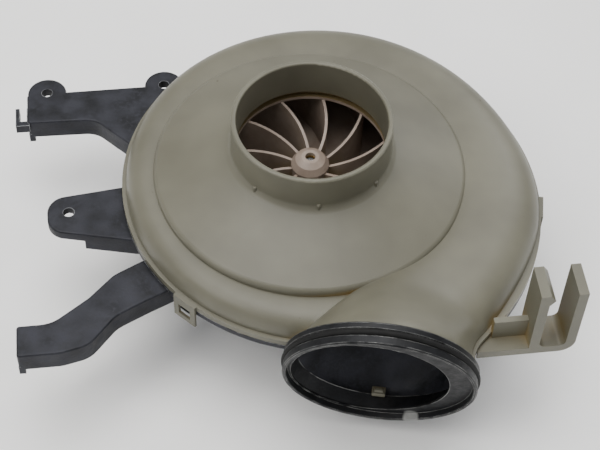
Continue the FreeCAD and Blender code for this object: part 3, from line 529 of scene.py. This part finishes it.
def finish_piece(name, finish, body):
    """Settle the active object's mesh in place, dress it and let it ride on a body."""
    if bpy.context.object.mode != "OBJECT":
        bpy.ops.object.mode_set(mode="OBJECT")
    bpy.ops.object.transform_apply(location=True, rotation=True, scale=True)
    bpy.ops.object.shade_smooth_by_angle(angle=math.radians(35))
    piece = bpy.context.object
    piece.name = name
    piece.data.materials.clear()
    piece.data.materials.append(finish)
    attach(piece, body)
    low, high = piece.bound_box[0], piece.bound_box[6]
    print(name, len(piece.data.polygons), "faces, from", [round(v, 4) for v in low], "to",
          [round(v, 4) for v in high])
    return piece


def node_span(node):
    """Lowest and highest corner of a ready-made part, in mm."""
    low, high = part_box(node)
    return [v / MM for v in low], [v / MM for v in high]


print("the upper shell lies between", [[round(v, 1) for v in corner]
                                       for corner in node_span("upper_shell")])

# %% [markdown]
# ## Nubs at the foot of the inlet
# Where the mould's gates met the inlet's wall, three small domed stubs are left. Each is a
# short cylinder whose top is inset and lifted, then softened.

# %% Model the nubs
INLET_WALL = 38.6
NUB_RADIUS, NUB_HEIGHT, NUB_LEVEL = 1.1, 3.0, -17.0
NUB_LIFT = 0.35
FIRST_NUB, OTHER_NUBS = -125.8, (47.8, 94.4)
begin_piece()
bpy.ops.mesh.primitive_cylinder_add(vertices=16, radius=NUB_RADIUS * MM, depth=NUB_HEIGHT * MM,
                                    location=(INLET_WALL * MM, 0, NUB_LEVEL * MM))
pick(lambda middle, normal: normal.z > 0.9)
bpy.ops.mesh.inset(thickness=0.3 * MM)
bpy.ops.transform.translate(value=(0, 0, NUB_LIFT * MM))
soften(0.25)
turn_piece(FIRST_NUB)
copies_round(OTHER_NUBS)
finish_piece("inlet_foot_nubs", shell_plastic, "casing")

# %% [markdown]
# ## A locating lug in the outlet
# On the floor of the duct stands a pale lug that keys the two halves together. A box with a
# raised middle does it: inset the top and lift it.

# %% Model the lug
LUG_PLACE = Vector((45.6, -91, -85.6)) * MM
LUG_LENGTH, LUG_WIDTH, LUG_HEIGHT = 6.5, 4.5, 2.6
begin_piece()
bpy.ops.mesh.primitive_cube_add(size=MM, location=LUG_PLACE,
                                scale=(LUG_LENGTH, LUG_WIDTH, LUG_HEIGHT))
bpy.ops.object.transform_apply(location=False, rotation=False, scale=True)
pick(lambda middle, normal: normal.z > 0.9)
bpy.ops.mesh.inset(thickness=1.2 * MM)
bpy.ops.mesh.extrude_region_move(TRANSFORM_OT_translate={"value": (0, 0, 1.0 * MM)})
soften(0.5, 3)
finish_piece("duct_locating_lug", shell_plastic, "casing")

# %% [markdown]
# ## Ribs under the casting
# A die-cast floor is thin, so radial ribs stiffen it where the motor hangs. A rib has draft:
# it is narrower at its free edge, so that it slips out of the die. One rib is modelled and
# copied round the axis, missing the three screw bosses.

# %% Model the ribs
FLOOR_DEPTH = 66.3
RIB_LENGTH, RIB_WIDTH, RIB_HEIGHT = 21, 2.6, 4.6
RIB_MIDDLE, RIB_SINK = 61.5, 0.4
RIB_COUNT, FIRST_RIB = 9, 10
begin_piece()
rib_level = -(FLOOR_DEPTH + RIB_HEIGHT / 2 - RIB_SINK)
bpy.ops.mesh.primitive_cube_add(size=MM, location=(RIB_MIDDLE * MM, 0, rib_level * MM),
                                scale=(RIB_LENGTH, RIB_WIDTH, RIB_HEIGHT))
bpy.ops.object.transform_apply(location=False, rotation=False, scale=True)
pick(lambda middle, normal: normal.z < -0.9)
bpy.ops.transform.resize(value=(0.82, 0.5, 1))
soften(0.5)
turn_piece(FIRST_RIB)
copies_round([360 / RIB_COUNT * step for step in range(1, RIB_COUNT)])
finish_piece("casting_ribs", die_cast, "casing")

# %% [markdown]
# ## Bearing cages
# A ball bearing's balls are kept apart by a crown cage: a thin ring beside the balls with
# fingers that reach between them. The ring is an open cylinder given a wall, and the fingers
# are pulled down from its lower faces halfway between the balls.

# %% Model the cages
BALLS, BALL_STEPS = 7, 6
CAGE_RADIUS, CAGE_WALL, CAGE_RING = 6.25, 0.7, 0.5
CAGE_RISE, CAGE_FINGER, FINGER_HALF_ANGLE = 1.85, 2.4, 9


def crown_cage(balls, body, name):
    """A crown cage for one set of balls, riding with them."""
    low, high = node_span(balls)
    level = (low[2] + high[2]) / 2 + CAGE_RISE
    begin_piece()
    bpy.ops.mesh.primitive_cylinder_add(vertices=BALLS * BALL_STEPS, radius=CAGE_RADIUS * MM,
                                        depth=CAGE_RING * MM, end_fill_type="NOTHING",
                                        location=(0, 0, level * MM))
    wall = bpy.context.object.modifiers.new("wall", "SOLIDIFY")
    wall.thickness, wall.offset = CAGE_WALL * MM, 0
    bpy.ops.object.modifier_apply(modifier="wall")

    def between(place, normal):
        turn = math.degrees(math.atan2(place.y, place.x)) % (360 / BALLS)
        return normal.z < -0.9 and abs(turn - 180 / BALLS) < FINGER_HALF_ANGLE

    pick(between)
    bpy.ops.mesh.extrude_region_move(TRANSFORM_OT_translate={"value": (0, 0, -CAGE_FINGER * MM)})
    finish_piece(name, zinc_steel, body)


crown_cage("front_bearing_balls", "front_ball_set", "front_bearing_cage")
crown_cage("rear_bearing_balls", "rear_ball_set", "rear_bearing_cage")

# %% [markdown]
# ## Components on the motor's board
# The board switches the three phases, so it carries three power transistors and two storage
# capacitors. A transistor is a box whose outer side is inset and pulled out into a tab. A
# capacitor is a drum whose top is inset and pressed in a little.

# %% Model the board's components
BOARD_TOP = node_span("circuit_board")[1][2]
CHIP_LENGTH, CHIP_WIDTH, CHIP_HEIGHT, CHIP_PLACE = 6.5, 6.0, 2.0, 24
DRUM_RADIUS, DRUM_HEIGHT, DRUM_PLACE = 3.0, 3.8, 27
GAP_UNDER, TAB_LENGTH = 0.1, 2.0
# Angles of the first of each, and of the others from it. They miss the board's three posts.
FIRST_CHIP, OTHER_CHIPS = -10, (40, 160)
FIRST_DRUM, OTHER_DRUMS = 52, (76,)
begin_piece()
chip_level = BOARD_TOP + CHIP_HEIGHT / 2 + GAP_UNDER
bpy.ops.mesh.primitive_cube_add(size=MM, location=(CHIP_PLACE * MM, 0, chip_level * MM),
                                scale=(CHIP_LENGTH, CHIP_WIDTH, CHIP_HEIGHT))
bpy.ops.object.transform_apply(location=False, rotation=False, scale=True)
pick(lambda middle, normal: normal.x > 0.9)
bpy.ops.mesh.inset(thickness=0.7 * MM)
bpy.ops.mesh.extrude_region_move(TRANSFORM_OT_translate={"value": (TAB_LENGTH * MM, 0, 0)})
soften(0.15)
turn_piece(FIRST_CHIP)
copies_round(OTHER_CHIPS)
finish_piece("board_transistors", ferrite, "casing")

begin_piece()
drum_level = BOARD_TOP + DRUM_HEIGHT / 2 + GAP_UNDER
bpy.ops.mesh.primitive_cylinder_add(vertices=32, radius=DRUM_RADIUS * MM, depth=DRUM_HEIGHT * MM,
                                    location=(DRUM_PLACE * MM, 0, drum_level * MM))
bpy.ops.object.transform_apply(location=False, rotation=False, scale=True)
pick(lambda middle, normal: normal.z > 0.9)
bpy.ops.mesh.inset(thickness=0.4 * MM)
bpy.ops.transform.translate(value=(0, 0, -0.25 * MM))
soften(0.2)
turn_piece(FIRST_DRUM)
copies_round(OTHER_DRUMS)
finish_piece("board_capacitors", zinc_steel, "casing")

# %% [markdown]
# ## Turns of wire on the stator
# Each tooth is wound with enamelled wire. One turn is a thin ring squashed into a tall loop,
# an array stacks the turns out along the tooth, and the finished coil is copied round all nine
# teeth. It fills the space of the plain coil, which it stands in for.

# %% Model the coils
coil_low, coil_high = node_span("stator_windings")
coil_middle = (coil_low[2] + coil_high[2]) / 2
coil_height = coil_high[2] - coil_low[2]
WIRE, TEETH = 0.7, 9
COIL_START, COIL_TURNS = 24.5, 12
LOOP_HALF_WIDTH, SQUARENESS = 3.8, 0.45
RING_TUBE, LOOP_THICKNESS = 0.1, 10.5
CLEARANCE = 1.2
begin_piece()
bpy.ops.mesh.primitive_torus_add(major_segments=20, minor_segments=6, major_radius=1,
                                 minor_radius=RING_TUBE, rotation=(0, math.pi / 2, 0))
bpy.ops.object.transform_apply(location=False, rotation=True, scale=False)
coil = bpy.context.object
for point in coil.data.vertices:
    around_loop = math.atan2(point.co.z, point.co.y)
    out = math.hypot(point.co.y, point.co.z) - 1
    wide = math.copysign(abs(math.cos(around_loop)) ** SQUARENESS, math.cos(around_loop))
    tall = math.copysign(abs(math.sin(around_loop)) ** SQUARENESS, math.sin(around_loop))
    reach = Vector((wide * LOOP_HALF_WIDTH, tall * (coil_height / 2 - CLEARANCE)))
    spread = reach + Vector((math.cos(around_loop), math.sin(around_loop))) * out * LOOP_THICKNESS
    point.co = Vector((point.co.x * WIRE / (2 * RING_TUBE), spread.x, spread.y)) * MM
stack = coil.modifiers.new("turns", "ARRAY")
stack.use_relative_offset, stack.use_constant_offset = False, True
stack.constant_offset_displace = (WIRE * MM, 0, 0)
stack.count = COIL_TURNS
bpy.ops.object.modifier_apply(modifier="turns")
coil.location = (COIL_START * MM, 0, coil_middle * MM)
copies_round([360 / TEETH * step for step in range(1, TEETH)])
coils = finish_piece("stator_coil_turns", copper, "casing")
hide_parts("stator_windings")
print("coils span", [round(v, 2) for v in coil_low], [round(v, 2) for v in coil_high])

# %% [markdown]
# ## A blank rating plate
# Makers stick a foil plate on the motor. This one is blank. It is cut from a thin ring that
# hugs the can, by deleting all the faces but those in a narrow sector, and given a wall.

# %% Model the plate
can_low, can_high = node_span("motor_housing")
CAN_RADIUS = can_high[0]
PLATE_HEIGHT, PLATE_LEVEL = 12, 15
PLATE_TURN, PLATE_HALF_ANGLE = -60, 20
GLUE, FOIL = 0.02, 0.12
begin_piece()
bpy.ops.mesh.primitive_cylinder_add(vertices=180, radius=(CAN_RADIUS + GLUE) * MM,
                                    depth=PLATE_HEIGHT * MM, end_fill_type="NOTHING",
                                    location=(0, 0, (can_low[2] + PLATE_LEVEL) * MM))
pick(lambda middle, normal: abs(math.degrees(math.atan2(middle.y, middle.x))
                                - PLATE_TURN) > PLATE_HALF_ANGLE)
bpy.ops.mesh.delete(type="FACE")
bpy.ops.object.mode_set(mode="OBJECT")
foil = bpy.context.object.modifiers.new("foil", "SOLIDIFY")
foil.thickness, foil.offset = FOIL * MM, 1
bpy.ops.object.modifier_apply(modifier="foil")
finish_piece("blank_rating_plate", ground_steel, "casing")
